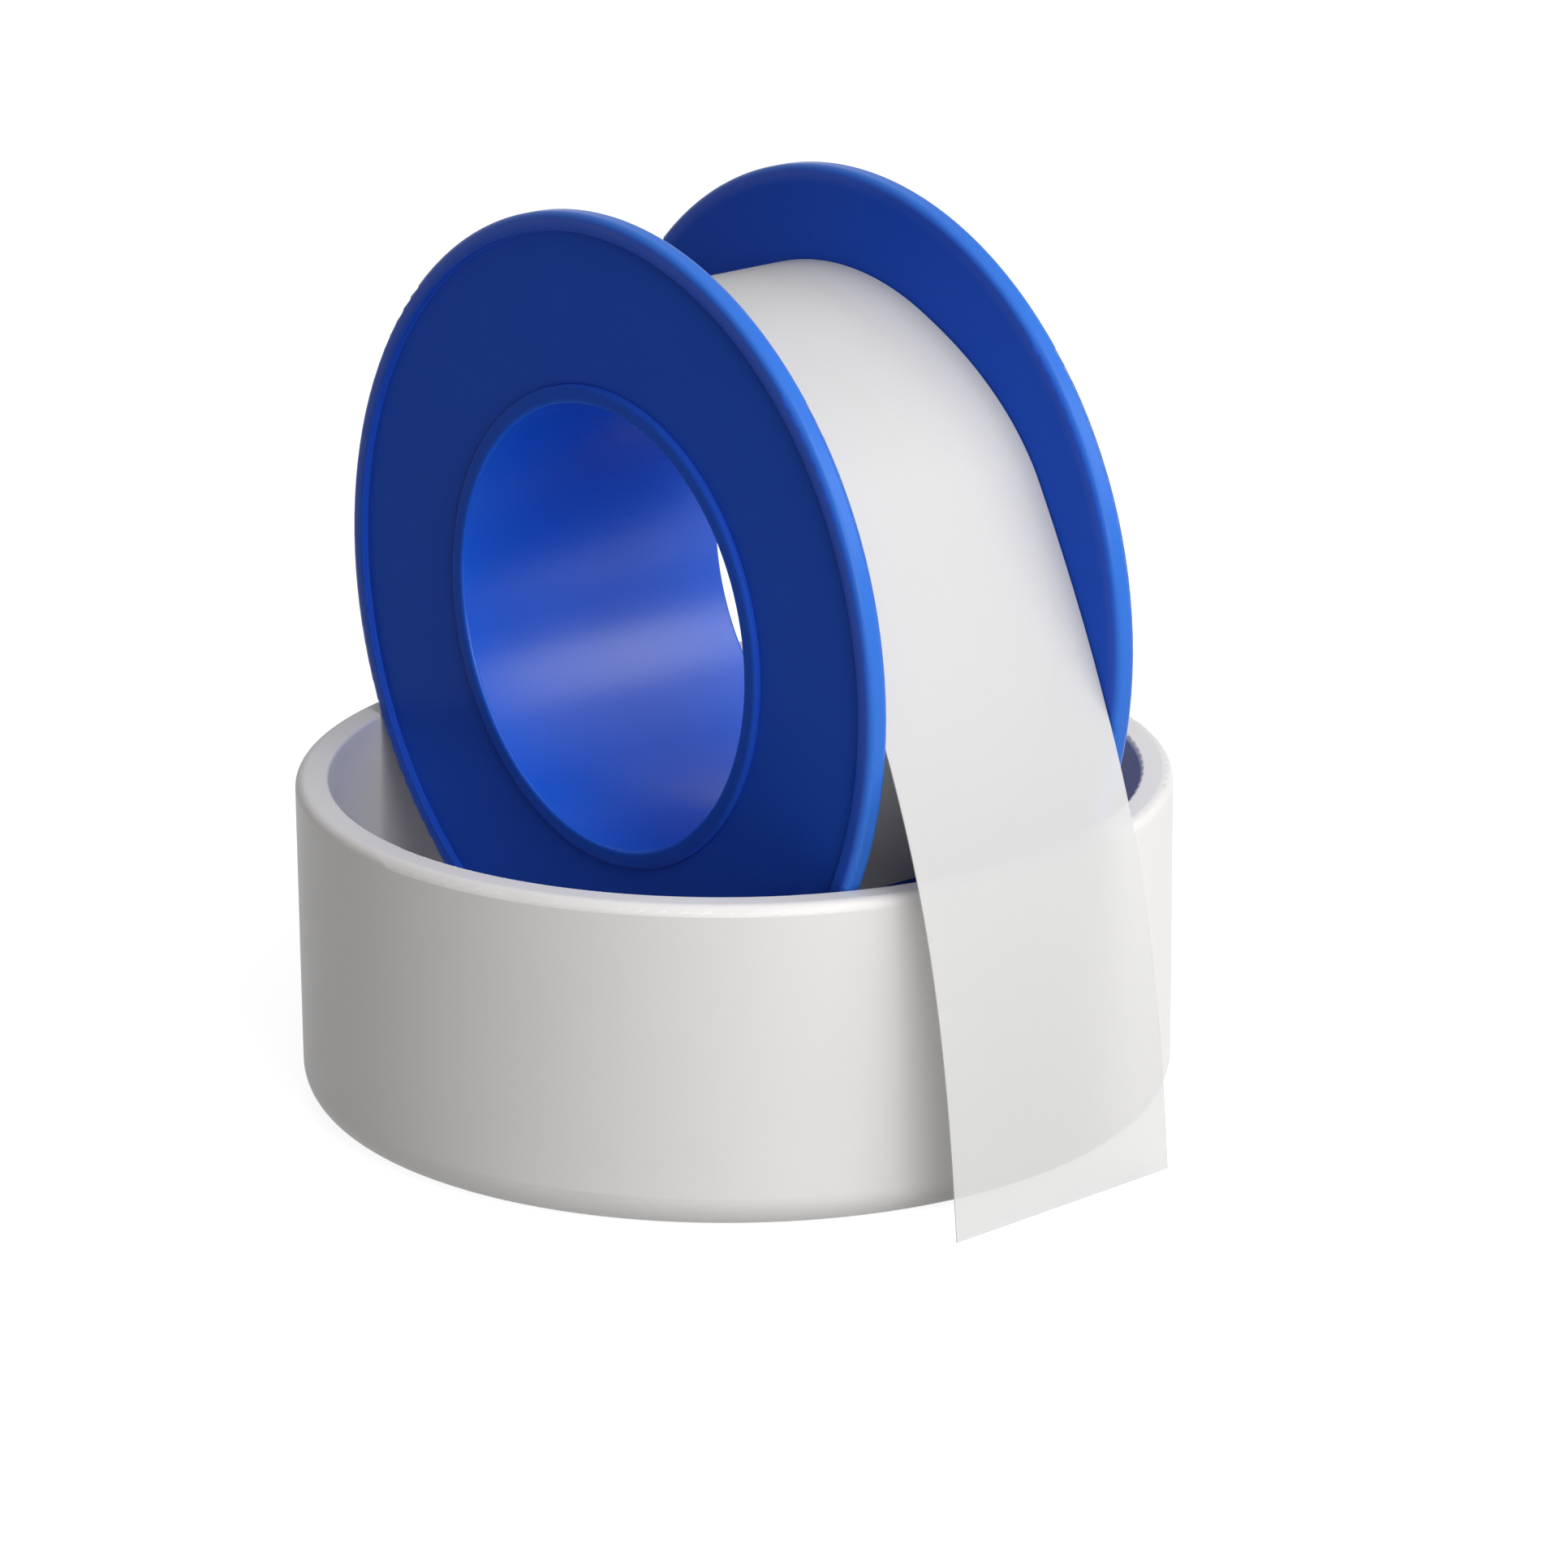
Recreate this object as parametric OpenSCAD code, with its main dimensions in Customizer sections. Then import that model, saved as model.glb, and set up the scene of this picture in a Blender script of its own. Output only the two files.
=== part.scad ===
// Thread seal tape on a two-flange spool that stands in its open cover.
// Lengths are millimetres and Z is up. The origin is the centre of the cover's underside.
// The spool turns about Y, and the free end of the tape hangs over the cover's lip on the +X side.

/* [Tape] */
// Width of the tape
tape_w = 19; // [12:0.5:25]
// Thickness of the tape's outer turn and free end
film_t = 0.2; // [0.15:0.01:0.3]
// Depth of the wound tape on the core
wound_depth = 4.2; // [2:0.05:6]
// Gap between the tape's edge and the flange on each side
tape_side_clear = 0.1; // [0.05:0.01:0.4]
// Gap between the outer turn and the winding that runs under it
wrap_clear = 0.1; // [0.05:0.01:0.15]
// Gap between the innermost turn and the core
winding_clear = 0.05; // [0.02:0.01:0.1]

/* [Free end] */
// Angle above +X at which the tape starts to lift off the roll
lift_angle = 68; // [60:1:80]
// Angle above +X at which the outer turn starts, under the lifted tape
turn_start_angle = 34; // [20:1:38]
// Angle above +X of the place where the tape bends down from the roll
bend_angle = 27; // [20:1:32]
// Height of the tape over the roll where it bends down
bend_lift = 1.45; // [1.1:0.05:2.2]
// Slope of the tape where it bends down
bend_slope_angle = 60; // [56:0.5:63]
// Distance of the tape's middle beyond the cover's outside, level with the top of the lip
lip_pass = 0.65; // [0.1:0.05:1.5]
// Slope of the tape as it passes the lip
lip_slope_angle = 74; // [68:0.5:78]
// Distance that the tape's end lies farther out than its pass over the lip
end_reach = 3.35; // [2.5:0.05:6]
// Slope of the tape at its end
end_slope_angle = 85.6; // [80:0.1:89]
// Height of the tape's end above the surface that the cover stands on
end_height = 0.4; // [0.3:0.1:6]

/* [Spool] */
// Outer diameter of the flanges
flange_d = 55; // [52:0.5:65]
// Thickness of a flange at its rim
flange_t = 1.6; // [1.3:0.1:2.6]
// Rounding of the rim's two edges
rim_edge_r = 0.5; // [0.2:0.05:0.6]
// Width of the raised bead round a flange's outer face
bead_w = 1.25; // [0.9:0.05:2.5]
// Depth of the web below the bead
web_recess = 0.45; // [0.25:0.05:0.8]
// Rounding of the bead's inner edge and of its foot
bead_edge_r = 0.12; // [0.05:0.01:0.12]
// Diameter of the bore through the spool
bore_d = 29.8; // [24:0.1:31]
// Rounding of the bore's two mouths
bore_edge_r = 0.25; // [0.1:0.05:0.6]
// Wall of the core's two necks. The front one shows as a collar round the bore
neck_wall = 1.25; // [1.2:0.05:1.7]
// Rounding of a neck's outer edge
neck_edge_r = 0.3; // [0.05:0.05:0.3]
// Distance that the back neck ends below its flange's bead; the front neck is level with its bead
back_neck_drop = 0.45; // [0:0.05:0.8]
// Height of the shoulder that a flange is pressed against
shoulder_h = 0.8; // [0.4:0.05:1.1]
// Radial gap of a flange on its neck
press_clear = 0.02; // [0.01:0.01:0.05]

/* [Cover] */
// Height of the cover
cover_h = 22; // [20:0.5:32]
// Wall thickness of the cover
cover_wall = 1.7; // [1.3:0.1:2.6]
// Distance that the lip is drawn in from the wall, to grip a flange that is pushed past it
lip_grip = 0.5; // [0.2:0.05:0.6]
// Height of the drawn-in lip
lip_band_h = 0.6; // [0.4:0.1:3]
// Height of the long slope that leads from the wall to the drawn-in lip
lip_rise_h = 8; // [2:0.5:10]
// Rounding of the lip's outer edge
lip_outer_r = 0.7; // [0.4:0.05:1.2]
// Rounding of the lip's inner edge, which carries the flanges
lip_inner_r = 0.25; // [0.1:0.05:0.3]
// Thickness of the cover's floor
cover_floor = 1.5; // [1.1:0.1:3]
// Radial gap between the cover and a flange that is put away in it
cover_clear = 0.1; // [0.05:0.01:0.4]
// Rounding of the cover's outer foot
foot_r = 2.3; // [1:0.1:2.6]
// Rounding between the floor and the wall inside
inner_corner_r = 0.5; // [0.2:0.05:1.2]
// Diameter of the hole in the cover's floor
floor_hole_d = 29.5; // [20:0.5:36]
// Rounding of the hole's upper edge
hole_edge_r = 0.25; // [0.1:0.05:0.4]
// Gap between a flange and the lip that carries it
seat_clear = 0.05; // [0.03:0.01:0.15]

/* [Hidden] */
$fn = 180;
// Overrun of a cut beyond the face that it opens
cut_over = flange_t;
cover_colour = "#e2dfdd";
spool_colour = "#2557c4";
tape_colour = "#e6e5e5";

// Radii and faces of the spool, axial places counted from its middle
flange_r = flange_d / 2;
bore_r = bore_d / 2;
neck_r = bore_r + neck_wall;
barrel_r = neck_r + shoulder_h;
inner_face = tape_w / 2 + tape_side_clear;
outer_face = inner_face + flange_t;
web_face = outer_face - web_recess;
bead_r = flange_r - bead_w;

// Radii of the wound tape
roll_r = barrel_r + winding_clear + wound_depth;
film_r = roll_r - film_t / 2;
winding_r = roll_r - film_t - wrap_clear;

// The cover's wall, its drawn-in lip, and the middle of the rounding on the lip's inner edge
cover_in_r = flange_r + cover_clear;
cover_r = cover_in_r + cover_wall;
lip_in_r = cover_in_r - lip_grip;
lip_foot_z = cover_h - lip_band_h;
lip_mid_r = lip_in_r + lip_inner_r;
lip_mid_z = cover_h - lip_inner_r;

// Seat of the standing spool. The rounded edge of each flange's outer face is an arc of radius
// edge_mid_r at the axial place edge_mid_y. Each place on it that is near the lip must stay
// seat_reach away from lip_mid_r, and the one that needs the most height sets the seat.
edge_mid_r = flange_r - rim_edge_r;
edge_mid_y = outer_face - rim_edge_r;
seat_reach = lip_inner_r + rim_edge_r + seat_clear;
seat_step_angle = 0.1;
function past_lip(a) = norm([edge_mid_r * cos(a), edge_mid_y]) - lip_mid_r;
function height_on_lip(a) = edge_mid_r * sin(a) + sqrt(pow(seat_reach, 2) - pow(past_lip(a), 2));
edge_angles = [for (a = [0:seat_step_angle:90]) if (abs(past_lip(a)) < seat_reach) a];
lip_seat = lip_mid_z + max([for (a = edge_angles) height_on_lip(a)]);
floor_seat = cover_floor + flange_r + seat_clear;
spool_z = max(lip_seat, floor_seat);

// The tape's middle line in the XZ plane, with the spool's axis as its zero. It is one open line:
// the outer turn, and then three curved stretches between four stations, each [x, z, slope].
turn_step_angle = 3;
leg_steps = 14;
handle_share = 1 / 3;
function on_roll(r, a) = [r * cos(a), r * sin(a)];
bend_place = on_roll(film_r + bend_lift, bend_angle);
stations = [
    [on_roll(film_r, lift_angle)[0], on_roll(film_r, lift_angle)[1], 90 - lift_angle],
    [bend_place[0], bend_place[1], bend_slope_angle],
    [cover_r + lip_pass, cover_h - spool_z, lip_slope_angle],
    [cover_r + lip_pass + end_reach, end_height - spool_z, end_slope_angle]
];
function place(s) = [s[0], s[1]];
function downward(s) = [cos(s[2]), -sin(s[2])];
function bezier(a, b, c, d, t) =
    pow(1 - t, 3) * a + 3 * pow(1 - t, 2) * t * b + 3 * (1 - t) * t * t * c + pow(t, 3) * d;
function leg(s, e) =
    let (reach = handle_share * norm(place(e) - place(s)))
    [for (i = [1:leg_steps])
        bezier(place(s), place(s) + reach * downward(s), place(e) - reach * downward(e),
            place(e), i / leg_steps)];
turn_span = 360 + turn_start_angle - lift_angle;
turn_count = round(turn_span / turn_step_angle);
turn_line = [for (i = [0:turn_count])
    on_roll(film_r, 360 + turn_start_angle - turn_span * i / turn_count)];
free_line = [for (k = [0:len(stations) - 2]) each leg(stations[k], stations[k + 1])];
tape_line = concat(turn_line, free_line);
last_point = len(tape_line) - 1;

// Side direction of the line at each of its points, and the two faces of the film
function along(i) = tape_line[min(i + 1, last_point)] - tape_line[max(i - 1, 0)];
function sideways(i) = [-along(i)[1], along(i)[0]] / norm(along(i));
function face(side) = [for (i = [0:last_point]) tape_line[i] + side * film_t / 2 * sideways(i)];
function reversed(list) = [for (i = [len(list) - 1:-1:0]) list[i]];
tape_outline = concat(face(1), reversed(face(-1)));

// The first quarter of the outer turn lies under the lifted tape, and this is the gap between them
quarter = [for (i = [0:floor(90 / turn_step_angle)]) turn_line[i]];
self_gap = min([for (p = quarter) for (q = free_line) norm(p - q)]) - film_t;
echo(str("Least gap of the tape to itself: ", self_gap, " mm"));
echo(str("Height of the spool's axis: ", spool_z, " mm"));

// What a square corner at the origin loses when it is rounded; the material lies at -X and -Y
module corner_loss(r) {
    difference() {
        translate([-r, -r])
            square(r + cut_over);
        translate([-r, -r])
            circle(r);
    }
}

// What a square inner corner at the origin gains when it is filled; the space lies at +X and +Y
module corner_fill(r) {
    difference() {
        square(r);
        translate([r, r])
            circle(r);
    }
}

// A ring of rectangular section
module band(r_in, r_out, low, high) {
    translate([r_in, low])
        square([r_out - r_in, high - low]);
}

// Stands a turned shape on the spool's axis, with its own +Z towards the back
module on_spool() {
    translate([0, 0, spool_z])
        rotate([-90, 0, 0])
            children();
}

// One flange: a plain inner face, a rounded rim, and a web that lies below the bead
module flange_section() {
    difference() {
        band(neck_r + press_clear, flange_r, inner_face, outer_face);
        difference() {
            band(0, bead_r, web_face, outer_face + cut_over);
            translate([bead_r, web_face])
                mirror([1, 0])
                    corner_fill(bead_edge_r);
        }
        translate([flange_r, outer_face])
            corner_loss(rim_edge_r);
        translate([flange_r, inner_face])
            mirror([0, 1])
                corner_loss(rim_edge_r);
        translate([bead_r, outer_face])
            mirror([1, 0])
                corner_loss(bead_edge_r);
    }
}

module back_flange() {
    color(spool_colour)
        on_spool()
            rotate_extrude()
                flange_section();
}

module front_flange() {
    color(spool_colour)
        mirror([0, 1, 0])
            on_spool()
                rotate_extrude()
                    flange_section();
}

// Half of the core's section: the barrel that carries the tape, and the neck that carries a flange
module half_core_section(neck_end) {
    difference() {
        union() {
            band(bore_r, barrel_r, 0, inner_face);
            band(bore_r, neck_r, 0, neck_end);
        }
        translate([neck_r, neck_end])
            corner_loss(neck_edge_r);
        translate([bore_r, neck_end])
            mirror([1, 0])
                corner_loss(bore_edge_r);
    }
}

module core_tube() {
    color(spool_colour)
        on_spool()
            rotate_extrude()
                union() {
                    half_core_section(outer_face - back_neck_drop);
                    mirror([0, 1])
                        half_core_section(outer_face);
                }
}

// The turns under the outermost one
module tape_winding() {
    color(tape_colour)
        on_spool()
            rotate_extrude()
                band(barrel_r + winding_clear, winding_r, -tape_w / 2, tape_w / 2);
}

// The outermost turn and the free end, as one strip of film
module tape_tail() {
    color(tape_colour)
        translate([0, 0, spool_z])
            rotate([90, 0, 0])
                linear_extrude(height = tape_w, center = true)
                    polygon(tape_outline);
}

// The cover: a floor with a round hole, and a straight wall with a drawn-in, rounded lip
module cover_section() {
    difference() {
        union() {
            band(floor_hole_d / 2, cover_r, 0, cover_floor);
            band(cover_in_r, cover_r, 0, cover_h);
            polygon([
                [cover_in_r, lip_foot_z - lip_rise_h], [cover_in_r, cover_h],
                [lip_in_r, cover_h], [lip_in_r, lip_foot_z]
            ]);
            translate([cover_in_r, cover_floor])
                mirror([1, 0])
                    corner_fill(inner_corner_r);
        }
        translate([cover_r, 0])
            mirror([0, 1])
                corner_loss(foot_r);
        translate([cover_r, cover_h])
            corner_loss(lip_outer_r);
        translate([lip_in_r, cover_h])
            mirror([1, 0])
                corner_loss(lip_inner_r);
        translate([floor_hole_d / 2, cover_floor])
            mirror([1, 0])
                corner_loss(hole_edge_r);
    }
}

module cover() {
    color(cover_colour)
        rotate_extrude()
            cover_section();
}

cover();
front_flange();
back_flange();
core_tube();
tape_winding();
tape_tail();
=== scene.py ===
"""Thread seal tape on a blue two-flange spool that stands in its open white cover.

Lengths are metres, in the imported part's own frame: Z is up out of the cover, the spool turns
about Y, and the free end of the tape hangs on the +X side.
"""

import math

import bpy
from mathutils import Matrix, Vector


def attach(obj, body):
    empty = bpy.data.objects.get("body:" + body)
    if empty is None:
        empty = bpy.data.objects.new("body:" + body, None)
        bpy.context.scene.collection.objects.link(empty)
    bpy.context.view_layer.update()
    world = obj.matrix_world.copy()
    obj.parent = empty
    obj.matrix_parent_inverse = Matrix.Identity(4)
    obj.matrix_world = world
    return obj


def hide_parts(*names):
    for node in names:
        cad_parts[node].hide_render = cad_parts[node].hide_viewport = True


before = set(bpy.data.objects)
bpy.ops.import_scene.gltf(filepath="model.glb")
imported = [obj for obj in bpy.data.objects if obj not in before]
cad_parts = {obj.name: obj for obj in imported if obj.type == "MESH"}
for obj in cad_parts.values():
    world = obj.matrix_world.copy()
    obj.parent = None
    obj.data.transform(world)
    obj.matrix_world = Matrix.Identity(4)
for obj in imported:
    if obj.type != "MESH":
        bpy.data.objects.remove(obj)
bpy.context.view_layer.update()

MM = 0.001

# Radii on the spool: the bore, the collar, the bead's inner edge, the start of the rim's painted
# paler blue and the flange
BORE_RADIUS = 14.9 * MM
COLLAR_RADIUS = 15.3 * MM
BEAD_RADIUS = 26.25 * MM
RIM_PALE_FROM = 27.0 * MM
FLANGE_RADIUS = 27.5 * MM

# How strongly the spool's plastic shines, and how soon the bore's polish ends towards the collar
BORE_GLOSS = 0.4
RIM_GLOSS = 0.1
WEB_GLOSS = 0.02
POLISH_END_SHARE = 0.3

# The tape as cut, and where it lies on the spool
TAPE_WIDTH = 19 * MM
FILM_THICKNESS = 0.075 * MM
BARREL_RADIUS = 16.95 * MM
WINDING_CLEAR = 0.05 * MM
WINDING_RADIUS = 20.9 * MM
OUTER_TURN_RADIUS = 21.1 * MM
SPOOL_AXIS_HEIGHT = 33.6905 * MM

# The wound film is a little thinner than its pitch, so that the turns stay apart
WOUND_FILM_THICKNESS = 0.96 * FILM_THICKNESS
STEPS_PER_TURN = 72

# The free end's stations: where it leaves the roll, bends down, passes the lip and ends
TURN_START_ANGLE = 34
LIFT_ANGLE = 68
BEND_ANGLE = 27
BEND_LIFT = 1.45 * MM
BEND_SLOPE = 60
LIP_PASS = 29.95 * MM
LIP_HEIGHT = 22 * MM
LIP_SLOPE = 74
END_PLACE = 33.3 * MM
END_HEIGHT = 0.4 * MM
END_SLOPE = 85.6

# How far the free end's edges are pulled out of line, and from where down that grows
TAIL_SKEW = 0.515 * MM
SKEW_TOP = SPOOL_AXIS_HEIGHT + 17 * MM
SKEW_LENGTH = 20 * MM

# The photograph's camera
CAMERA_PLACE = (344.26 * MM, -276.63 * MM, 163.35 * MM)
CAMERA_AZIMUTH = 50.786
CAMERA_ELEVATION = 17.908
CAMERA_ROLL = -0.487
FOCAL_SHARE = 8549.7 / 1932

# The lamps: degrees to the right of the camera's side, degrees up, width and height, and watts
LAMP_DISTANCE = 0.5
LAMP_AIM = (0, 0, 30 * MM)
SOFTBOXES = {
    "key_softbox": (35, 30, 0.45, 0.33, 1.13),
    "low_key_softbox": (20, 14, 0.3, 0.2, 0.5),
    "high_key_softbox": (50, 52, 0.3, 0.2, 0.8),
    "side_softbox": (80, 30, 0.2, 0.2, 0.56),
    "back_softbox": (110, 40, 0.2, 0.2, 0.1),
    "front_softbox": (-10, 55, 0.3, 0.3, 0.13),
    "top_softbox": (0, 86, 0.3, 0.3, 0.3)}

# The floor and the surround: plain white to the camera and in reflections, dim as a lamp
FLOOR_SIZE = 6
FLOOR_DROP = 0.02 * MM
FLOOR_WHITE_SHARE = 0.88
SURROUND_LIGHT = 0.1


def linear(hex_colour):
    """The linear red, green and blue of an sRGB colour such as #1a2b3c, with an alpha of 1."""
    values = [int(hex_colour[i:i + 2], 16) / 255 for i in (1, 3, 5)]
    return [v / 12.92 if v <= 0.04045 else ((v + 0.055) / 1.055) ** 2.4 for v in values] + [1]


def add_node(tree, kind, settings=None, **sockets):
    """Adds a node, gives it its settings, and fills its sockets with links or values."""
    node = tree.nodes.new(kind)
    for name, value in (settings or {}).items():
        setattr(node, name, value)
    for name, value in sockets.items():
        socket = node.inputs[int(name[1:]) if name[1:].isdigit() else name.replace("_", " ")]
        if isinstance(value, bpy.types.NodeSocket):
            tree.links.new(value, socket)
        else:
            socket.default_value = value
    return node


def new_material(name):
    """An empty node material, its tree and its output node."""
    material = bpy.data.materials.new(name)
    material.use_nodes = True
    material.node_tree.nodes.clear()
    return material, material.node_tree, add_node(material.node_tree, "ShaderNodeOutputMaterial")


def where_background_shows(tree):
    """1 on the rays that see the background: the camera's, reflected and passed on. Otherwise 0."""
    path = add_node(tree, "ShaderNodeLightPath")
    seen = add_node(
        tree, "ShaderNodeMath", {"operation": "ADD"}, _0=path.outputs["Is Camera Ray"],
        _1=path.outputs["Is Glossy Ray"])
    shown = add_node(
        tree, "ShaderNodeMath", {"operation": "ADD"}, _0=seen.outputs[0],
        _1=path.outputs["Is Transmission Ray"])
    return shown.outputs[0]


def moulded_polypropylene():
    """Injection-moulded white polypropylene, off a fine matt tool: milky, satin, faintly cloudy."""
    material, tree, output = new_material("moulded_white_polypropylene")
    place = add_node(tree, "ShaderNodeTexCoord").outputs["Object"]
    cloud = add_node(tree, "ShaderNodeTexNoise", Vector=place, Scale=90, Detail=2)
    grain = add_node(tree, "ShaderNodeTexNoise", Vector=place, Scale=2600, Detail=3)
    colour = add_node(
        tree, "ShaderNodeMix", {"data_type": "RGBA"}, _0=cloud.outputs["Fac"],
        _6=linear("#e4e1df"), _7=linear("#e9e7e5"))
    shine = add_node(
        tree, "ShaderNodeMapRange", Value=cloud.outputs["Fac"], To_Min=0.40, To_Max=0.46)
    relief = add_node(
        tree, "ShaderNodeBump", Height=grain.outputs["Fac"], Strength=0.25, Distance=0.01 * MM)
    surface = add_node(
        tree, "ShaderNodeBsdfPrincipled", Base_Color=colour.outputs[2],
        Roughness=shine.outputs["Result"], IOR=1.49, Normal=relief.outputs["Normal"])
    tree.links.new(surface.outputs["BSDF"], output.inputs["Surface"])
    return material


def moulded_polystyrene():
    """Injection-moulded blue polystyrene: deep blue, satin, finely grained by the tool.

    The blue is painted paler towards the rims' outer edge, a painted highlight of the light on the
    rims, and painted brighter on the bore's wall, a painted glow of light in the bore. The tool is
    polished where it forms the bore and the rims, and matt where it forms the webs and the collars.
    """
    material, tree, output = new_material("moulded_blue_polystyrene")
    place = add_node(tree, "ShaderNodeTexCoord").outputs["Object"]
    from_axis = add_node(
        tree, "ShaderNodeMapping", Vector=place, Location=(0, 0, -SPOOL_AXIS_HEIGHT),
        Scale=(1, 0, 1))
    radius = add_node(
        tree, "ShaderNodeVectorMath", {"operation": "LENGTH"}, _0=from_axis.outputs["Vector"])
    # Painted highlight: this mask rises towards the flange's edge, where the blue is painted paler
    # to stand in for light on the rims
    painted_rim_light_mask = add_node(
        tree, "ShaderNodeMapRange", {"interpolation_type": "SMOOTHSTEP"},
        Value=radius.outputs["Value"], From_Min=RIM_PALE_FROM, From_Max=FLANGE_RADIUS)
    past_bore = add_node(
        tree, "ShaderNodeMapRange", Value=radius.outputs["Value"], From_Min=BORE_RADIUS,
        From_Max=COLLAR_RADIUS)
    bore_gloss = add_node(
        tree, "ShaderNodeMapRange", Value=past_bore.outputs["Result"], From_Max=POLISH_END_SHARE,
        To_Min=BORE_GLOSS, To_Max=WEB_GLOSS)
    rim_gloss = add_node(
        tree, "ShaderNodeMapRange", Value=radius.outputs["Value"], From_Min=BEAD_RADIUS,
        From_Max=RIM_PALE_FROM, To_Min=0.0, To_Max=RIM_GLOSS)
    gloss = add_node(
        tree, "ShaderNodeMath", {"operation": "ADD"}, _0=bore_gloss.outputs["Result"],
        _1=rim_gloss.outputs["Result"])
    cloud = add_node(tree, "ShaderNodeTexNoise", Vector=place, Scale=120, Detail=2)
    grain = add_node(tree, "ShaderNodeTexNoise", Vector=place, Scale=4200, Detail=2)
    colour = add_node(
        tree, "ShaderNodeMix", {"data_type": "RGBA"}, _0=cloud.outputs["Fac"],
        _6=linear("#2250c0"), _7=linear("#2554c6"))
    # Painted glow: the bore's wall is painted a brighter blue than the rest, standing in for light
    # that reaches into the bore
    painted_bore_glow = add_node(
        tree, "ShaderNodeMix", {"data_type": "RGBA"}, _0=past_bore.outputs["Result"],
        _6=linear("#1b66e8"), _7=colour.outputs[2])
    # The painted paler rim blue (#306dcc) is laid over the colour here, on top of the painted bore
    # glow
    colour_with_painted_light = add_node(
        tree, "ShaderNodeMix", {"data_type": "RGBA"}, _0=painted_rim_light_mask.outputs["Result"],
        _6=painted_bore_glow.outputs[2], _7=linear("#306dcc"))
    shine = add_node(
        tree, "ShaderNodeMapRange", Value=cloud.outputs["Fac"], To_Min=0.28, To_Max=0.33)
    relief = add_node(
        tree, "ShaderNodeBump", Height=grain.outputs["Fac"], Strength=0.5, Distance=0.01 * MM)
    surface = add_node(
        tree, "ShaderNodeBsdfPrincipled", Base_Color=colour_with_painted_light.outputs[2],
        Roughness=shine.outputs["Result"], IOR=1.59, Specular_IOR_Level=gloss.outputs[0],
        Normal=relief.outputs["Normal"])
    tree.links.new(surface.outputs["BSDF"], output.inputs["Surface"])
    return material


def calendered_film():
    """Calendered fluoropolymer film: waxy, soft white, drawn lengthways, a little see-through."""
    material, tree, output = new_material("calendered_fluoropolymer_film")
    length = add_node(tree, "ShaderNodeTexCoord").outputs["UV"]
    drawn = add_node(tree, "ShaderNodeMapping", Vector=length, Scale=(12, 60, 1))
    streak = add_node(tree, "ShaderNodeTexNoise", Vector=drawn.outputs["Vector"], Scale=1, Detail=3)
    colour = add_node(
        tree, "ShaderNodeMix", {"data_type": "RGBA"}, _0=streak.outputs["Fac"],
        _6=linear("#e0e0df"), _7=linear("#e3e2e2"))
    relief = add_node(
        tree, "ShaderNodeBump", Height=streak.outputs["Fac"], Strength=0.1, Distance=0.01 * MM)
    surface = add_node(
        tree, "ShaderNodeBsdfPrincipled", Base_Color=colour.outputs[2], Roughness=0.55, IOR=1.36,
        Alpha=0.64, Normal=relief.outputs["Normal"])
    tree.links.new(surface.outputs["BSDF"], output.inputs["Surface"])
    return material


def pale_floor():
    """Matt white paper that carries the shadow. A share of plain white evens it for the camera."""
    material, tree, output = new_material("white_paper_floor")
    paper = add_node(tree, "ShaderNodeBsdfDiffuse", Color=linear("#b6b6b6"))
    share = add_node(
        tree, "ShaderNodeMath", {"operation": "MULTIPLY"}, _0=where_background_shows(tree),
        _1=FLOOR_WHITE_SHARE)
    white = add_node(tree, "ShaderNodeEmission", Strength=share.outputs[0])
    both = add_node(
        tree, "ShaderNodeAddShader", _0=paper.outputs["BSDF"], _1=white.outputs["Emission"])
    tree.links.new(both.outputs["Shader"], output.inputs["Surface"])
    return material


def deselect():
    """Leaves nothing selected, so that an operator works on the new piece alone."""
    bpy.ops.object.select_all(action="DESELECT")


def finish_piece(piece, material, body, angle=30):
    """Smooth faces up to an angle, the material, and the body that the piece moves with."""
    deselect()
    piece.select_set(True)
    bpy.context.view_layer.objects.active = piece
    bpy.ops.object.shade_smooth_by_angle(angle=math.radians(angle))
    piece.data.materials.clear()
    piece.data.materials.append(material)
    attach(piece, body)
    return piece


def on_circle(radius, angle):
    """The place (x, z) on a circle round the spool's axis, at an angle in degrees above +X."""
    turn = math.radians(angle)
    return radius * math.cos(turn), SPOOL_AXIS_HEIGHT + radius * math.sin(turn)


def leg(start, end, count=60):
    """Places on the smooth curve between two stations, each (x, z, degrees below level)."""
    (x0, z0, a0), (x3, z3, a3) = start, end
    reach = math.dist((x0, z0), (x3, z3)) / 3
    x1, z1 = x0 + reach * math.cos(math.radians(a0)), z0 - reach * math.sin(math.radians(a0))
    x2, z2 = x3 - reach * math.cos(math.radians(a3)), z3 + reach * math.sin(math.radians(a3))
    places = []
    for i in range(1, count + 1):
        t = i / count
        weights = ((1 - t) ** 3, 3 * (1 - t) ** 2 * t, 3 * (1 - t) * t * t, t ** 3)
        places.append((
            sum(w * x for w, x in zip(weights, (x0, x1, x2, x3))),
            sum(w * z for w, z in zip(weights, (z0, z1, z2, z3)))))
    return places


def outer_turn_line():
    """The middle line of the outer turn and the free end, from the turn's start to the end."""
    line = [
        on_circle(OUTER_TURN_RADIUS, angle)
        for angle in range(360 + TURN_START_ANGLE, LIFT_ANGLE - 1, -1)]
    lift = (*on_circle(OUTER_TURN_RADIUS, LIFT_ANGLE), 90 - LIFT_ANGLE)
    bend = (*on_circle(OUTER_TURN_RADIUS + BEND_LIFT, BEND_ANGLE), BEND_SLOPE)
    lip = (LIP_PASS, LIP_HEIGHT, LIP_SLOPE)
    end = (END_PLACE, END_HEIGHT, END_SLOPE)
    return line + leg(lift, bend) + leg(bend, lip) + leg(lip, end)


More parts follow.
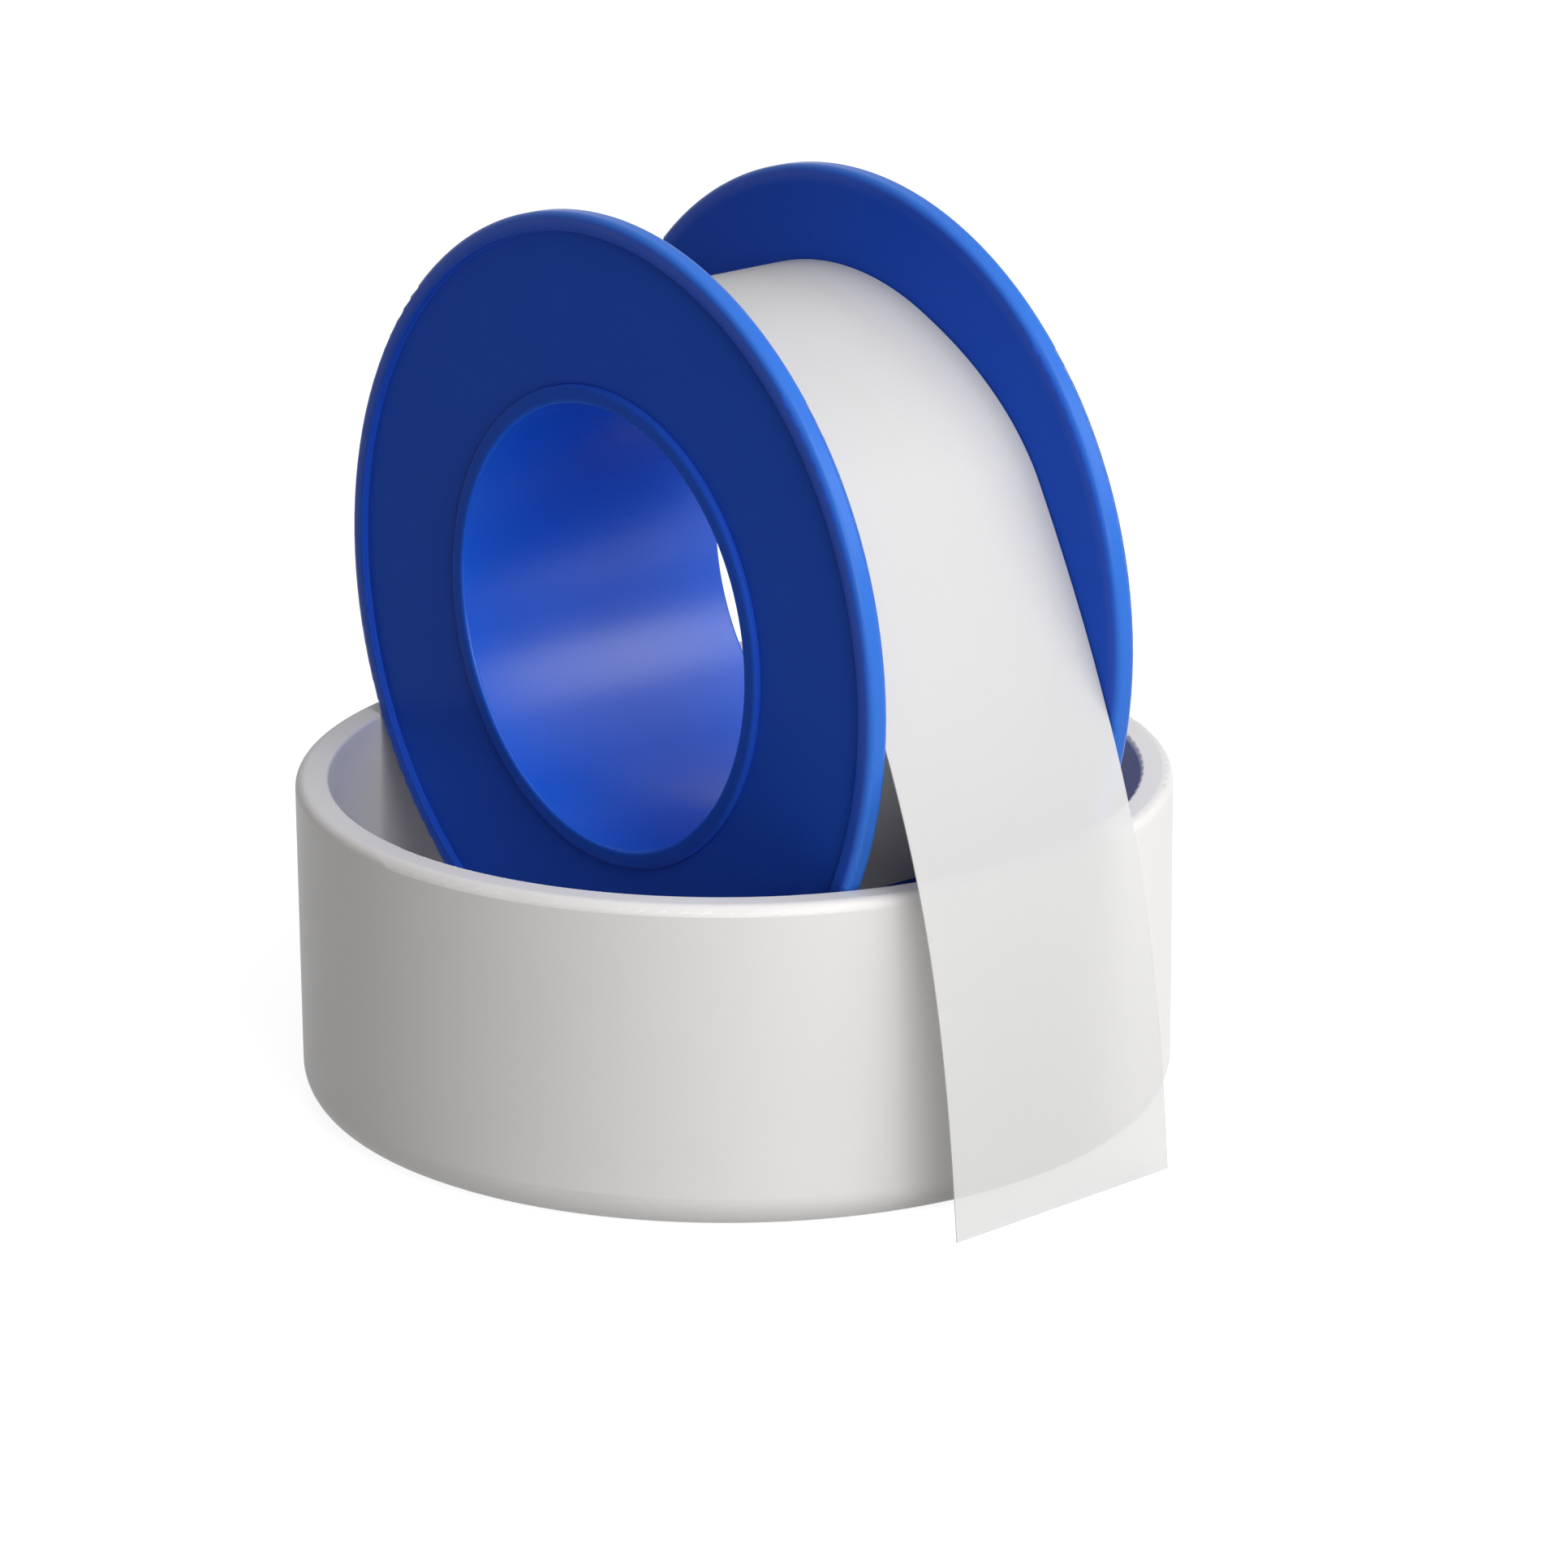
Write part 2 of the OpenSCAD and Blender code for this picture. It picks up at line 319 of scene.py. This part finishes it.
def winding_line():
    """The middle line of the wound turns, from the core outwards to the outer turn's start."""
    inner = BARREL_RADIUS + WINDING_CLEAR + FILM_THICKNESS / 2
    outer = WINDING_RADIUS - FILM_THICKNESS / 2
    turns = round((outer - inner) / FILM_THICKNESS)
    steps = turns * STEPS_PER_TURN
    return [
        on_circle(
            inner + (outer - inner) * i / steps, TURN_START_ANGLE + 360 * turns * (1 - i / steps))
        for i in range(steps + 1)]


def line_length(line):
    """The length of a line of places."""
    return sum(math.dist(a, b) for a, b in zip(line, line[1:]))


def even_places(line, count):
    """Places at count + 1 even steps along a line."""
    step = line_length(line) / count
    places, gone, k = [line[0]], 0.0, 0
    for i in range(1, count):
        while gone + math.dist(line[k], line[k + 1]) < i * step:
            gone += math.dist(line[k], line[k + 1])
            k += 1
        share = (i * step - gone) / math.dist(line[k], line[k + 1])
        places.append(tuple(a + share * (b - a) for a, b in zip(line[k], line[k + 1])))
    return places + [line[-1]]


def lay_film(name, line, along, across, skew, thickness):
    """A flat strip as cut, laid along a line, with its edge at -Y pulled outwards by the skew."""
    deselect()
    bpy.ops.mesh.primitive_grid_add(x_subdivisions=along, y_subdivisions=across, size=1)
    strip = bpy.context.object
    strip.name = strip.data.name = name
    places = even_places(line, along)
    for vertex in strip.data.vertices:
        x, z = places[round((vertex.co.x + 0.5) * along)]
        pull = min(max((SKEW_TOP - z) / SKEW_LENGTH, 0), 1)
        width = vertex.co.y * TAPE_WIDTH
        free = x > 0 and math.hypot(x, z - SPOOL_AXIS_HEIGHT) > OUTER_TURN_RADIUS + 0.01 * MM
        out = -skew * 2 * vertex.co.y * pull * free
        vertex.co = (x + out, width, z)
    solid = strip.modifiers.new("thickness", "SOLIDIFY")
    solid.thickness, solid.offset, solid.use_even_offset = thickness, 0, True
    bpy.ops.object.modifier_apply(modifier=solid.name)
    return strip


def build_free_end(film):
    """The outermost turn and the free end, one unbroken strip of film."""
    line = outer_turn_line()
    strip = lay_film("tape_free_end", line, 280, 14, TAIL_SKEW, FILM_THICKNESS)
    finish_piece(strip, film, "loose_tape")
    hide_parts("tape_tail")


def build_wound_turns(film):
    """The turns under the outermost one, as one spiral of film."""
    line = winding_line()
    strip = lay_film("tape_wound_turns", line, len(line) - 1, 1, 0, WOUND_FILM_THICKNESS)
    finish_piece(strip, film, "spool")
    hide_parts("tape_winding")


def dress_nodes():
    """Gives the nodes that keep their own shape their moulded plastics."""
    spool_plastic = moulded_polystyrene()
    plastics = {
        "cover": moulded_polypropylene(), "front_flange": spool_plastic,
        "back_flange": spool_plastic, "core_tube": spool_plastic}
    for name, plastic in plastics.items():
        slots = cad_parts[name].data.materials
        slots.clear()
        slots.append(plastic)


def build_floor():
    """A wide paper floor just under the cover."""
    deselect()
    bpy.ops.mesh.primitive_plane_add(size=FLOOR_SIZE, location=(0, 0, -FLOOR_DROP))
    floor = bpy.context.object
    floor.name = "paper_floor"
    floor.data.materials.append(pale_floor())


def softbox(name, side_angle, height_angle, width, height, power):
    """A soft lamp aimed at the part, at degrees to the right of the camera's side and up."""
    turn = math.radians(side_angle + CAMERA_AZIMUTH - 90)
    rise = math.radians(height_angle)
    ray = Vector((math.cos(turn) * math.cos(rise), math.sin(turn) * math.cos(rise), math.sin(rise)))
    lamp = bpy.data.lights.new(name, "AREA")
    lamp.shape, lamp.energy = "RECTANGLE", power
    lamp.size, lamp.size_y = width, height
    stand = bpy.data.objects.new(name, lamp)
    bpy.context.scene.collection.objects.link(stand)
    stand.location = Vector(LAMP_AIM) + LAMP_DISTANCE * ray
    stand.rotation_euler = ray.to_track_quat("Z", "Y").to_euler()


def light_studio():
    """Soft lamps in front, above and at the right, and an even pale surround."""
    for name, lamp in SOFTBOXES.items():
        softbox(name, *lamp)
    world = bpy.data.worlds.new("studio_surround")
    bpy.context.scene.world = world
    world.use_nodes = True
    tree = world.node_tree
    tree.nodes.clear()
    level = add_node(
        tree, "ShaderNodeMapRange", Value=where_background_shows(tree), To_Min=SURROUND_LIGHT,
        To_Max=1.0)
    surround = add_node(tree, "ShaderNodeBackground", Strength=level.outputs["Result"])
    output = add_node(tree, "ShaderNodeOutputWorld")
    tree.links.new(surround.outputs["Background"], output.inputs["Surface"])


def set_camera():
    """The photograph's camera: its place, its turn about all three axes and its angle of view."""
    azimuth, elevation, roll = (
        math.radians(a) for a in (CAMERA_AZIMUTH, CAMERA_ELEVATION, CAMERA_ROLL))
    ahead = Vector((
        -math.sin(azimuth) * math.cos(elevation), math.cos(azimuth) * math.cos(elevation),
        -math.sin(elevation)))
    level = Vector((math.cos(azimuth), math.sin(azimuth), 0))
    upward = level.cross(ahead)
    right = math.cos(roll) * level + math.sin(roll) * upward
    top = math.cos(roll) * upward - math.sin(roll) * level
    lens = bpy.data.cameras.new("photo_camera")
    lens.sensor_width, lens.lens = 36, 36 * FOCAL_SHARE
    lens.clip_start, lens.clip_end = 0.01, 20
    camera = bpy.data.objects.new("photo_camera", lens)
    bpy.context.scene.collection.objects.link(camera)
    camera.matrix_world = Matrix.Translation(CAMERA_PLACE) @ Matrix(
        (right, top, -ahead)).transposed().to_4x4()
    bpy.context.scene.camera = camera


set_camera()
bpy.context.scene.view_settings.view_transform = "Standard"
build_floor()
light_studio()
film = calendered_film()
build_wound_turns(film)
build_free_end(film)
dress_nodes()
